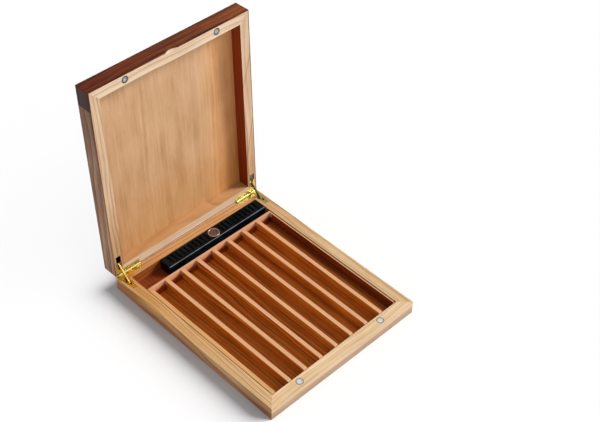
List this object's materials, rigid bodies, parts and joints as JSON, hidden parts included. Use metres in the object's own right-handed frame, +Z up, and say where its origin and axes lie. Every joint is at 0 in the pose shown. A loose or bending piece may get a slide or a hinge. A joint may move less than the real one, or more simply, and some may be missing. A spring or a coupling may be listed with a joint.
{
  "type": "fountain pen case",
  "caption": "Flat wooden pen case with a veneered lid on two brass stay hinges, magnets in the front rims, a lift-out divided tray and a vented bar.",
  "frame": {"origin": "middle of the base's underside", "axes": "+X to the right along the hinge line, -Y to the front, +Z up; the lid stands open on its stay arms"},
  "size_m": [0.21, 0.2779, 0.2661],
  "materials": {
    "base_wood": "oiled satin",
    "lid_wood": "oiled satin",
    "base_panel": "sanded",
    "lid_panel": "sanded",
    "ebony_veneer": "lacquered satin",
    "rosewood_veneer": "lacquered satin",
    "walnut_veneer": "oiled satin",
    "brass": "polished",
    "nickel": "plated",
    "cedar": "sanded",
    "black_plastic": "fine satin",
    "bar_foam": "open-cell foam",
    "copper": "satin copper"
  },
  "bodies": {
    "base": {"base_front_wall": "base_wood", "base_back_wall": "base_wood", "base_left_wall": "base_wood", "base_right_wall": "base_wood", "base_bottom_panel": "base_panel", "base_floor_lining": "cedar", "left_hinge_base_leaf": "brass", "right_hinge_base_leaf": "brass", "left_hinge_pin": "brass", "right_hinge_pin": "brass", "base_hinge_screws": "brass", "base_magnet_left": "nickel", "base_magnet_right": "nickel", "base_magnet_screws": "nickel"},
    "lid": {"lid_front_wall": "lid_wood", "lid_back_wall": "lid_wood", "lid_left_wall": "lid_wood", "lid_right_wall": "lid_wood", "lid_inner_panel": "lid_panel", "lid_top_veneer": "ebony_veneer", "lid_front_veneer": "rosewood_veneer", "lid_back_veneer": "walnut_veneer", "lid_left_corner_veneer": "rosewood_veneer", "lid_right_corner_veneer": "rosewood_veneer", "lid_left_side_veneer": "walnut_veneer", "lid_right_side_veneer": "walnut_veneer", "left_hinge_lid_leaf": "brass", "right_hinge_lid_leaf": "brass", "lid_hinge_screws": "brass", "lid_magnet_left": "nickel", "lid_magnet_right": "nickel", "lid_magnet_screws": "nickel"},
    "left_stay": {"left_stay_arm": "brass", "left_stay_pins": "brass"},
    "right_stay": {"right_stay_arm": "brass", "right_stay_pins": "brass"},
    "tray": {"tray_floor": "cedar", "tray_left_wall": "cedar", "tray_right_wall": "cedar", "tray_back_wall": "cedar", "tray_front_rail": "cedar", "divider_1": "cedar", "divider_2": "cedar", "divider_3": "cedar", "divider_4": "cedar", "divider_5": "cedar", "divider_6": "cedar", "divider_7": "cedar"},
    "bar": {"bar_housing": "black_plastic", "bar_grille": "black_plastic", "bar_foam": "bar_foam", "bar_medallion": "copper", "bar_medallion_ring": "copper"}
  },
  "joints": [
    {"name": "lid_hinge", "type": "hinge", "parent": "base", "child": "lid", "pos_m": [0, 0.12455, 0.0172], "axis": [-1, 0, 0], "range_deg": [-92, 0]},
    {"name": "left_stay_turn", "type": "hinge", "parent": "base", "child": "left_stay", "pos_m": [0, 0.12455, 0.0172], "axis": [-1, 0, 0], "range_deg": [-46, 0]},
    {"name": "right_stay_turn", "type": "hinge", "parent": "base", "child": "right_stay", "pos_m": [0, 0.12455, 0.0172], "axis": [-1, 0, 0], "range_deg": [-46, 0]},
    {"name": "tray_lift", "type": "slide", "parent": "base", "child": "tray", "axis": [0, 0, 1], "range_m": [0, 0.0138]},
    {"name": "bar_lift", "type": "slide", "parent": "base", "child": "bar", "axis": [0, 0, 1], "range_m": [0, 0.0138]}
  ],
  "couplings": [
    {"joint": "left_stay_turn", "follows": "lid_hinge", "ratio": 0.5},
    {"joint": "right_stay_turn", "follows": "lid_hinge", "ratio": 0.5}
  ]
}
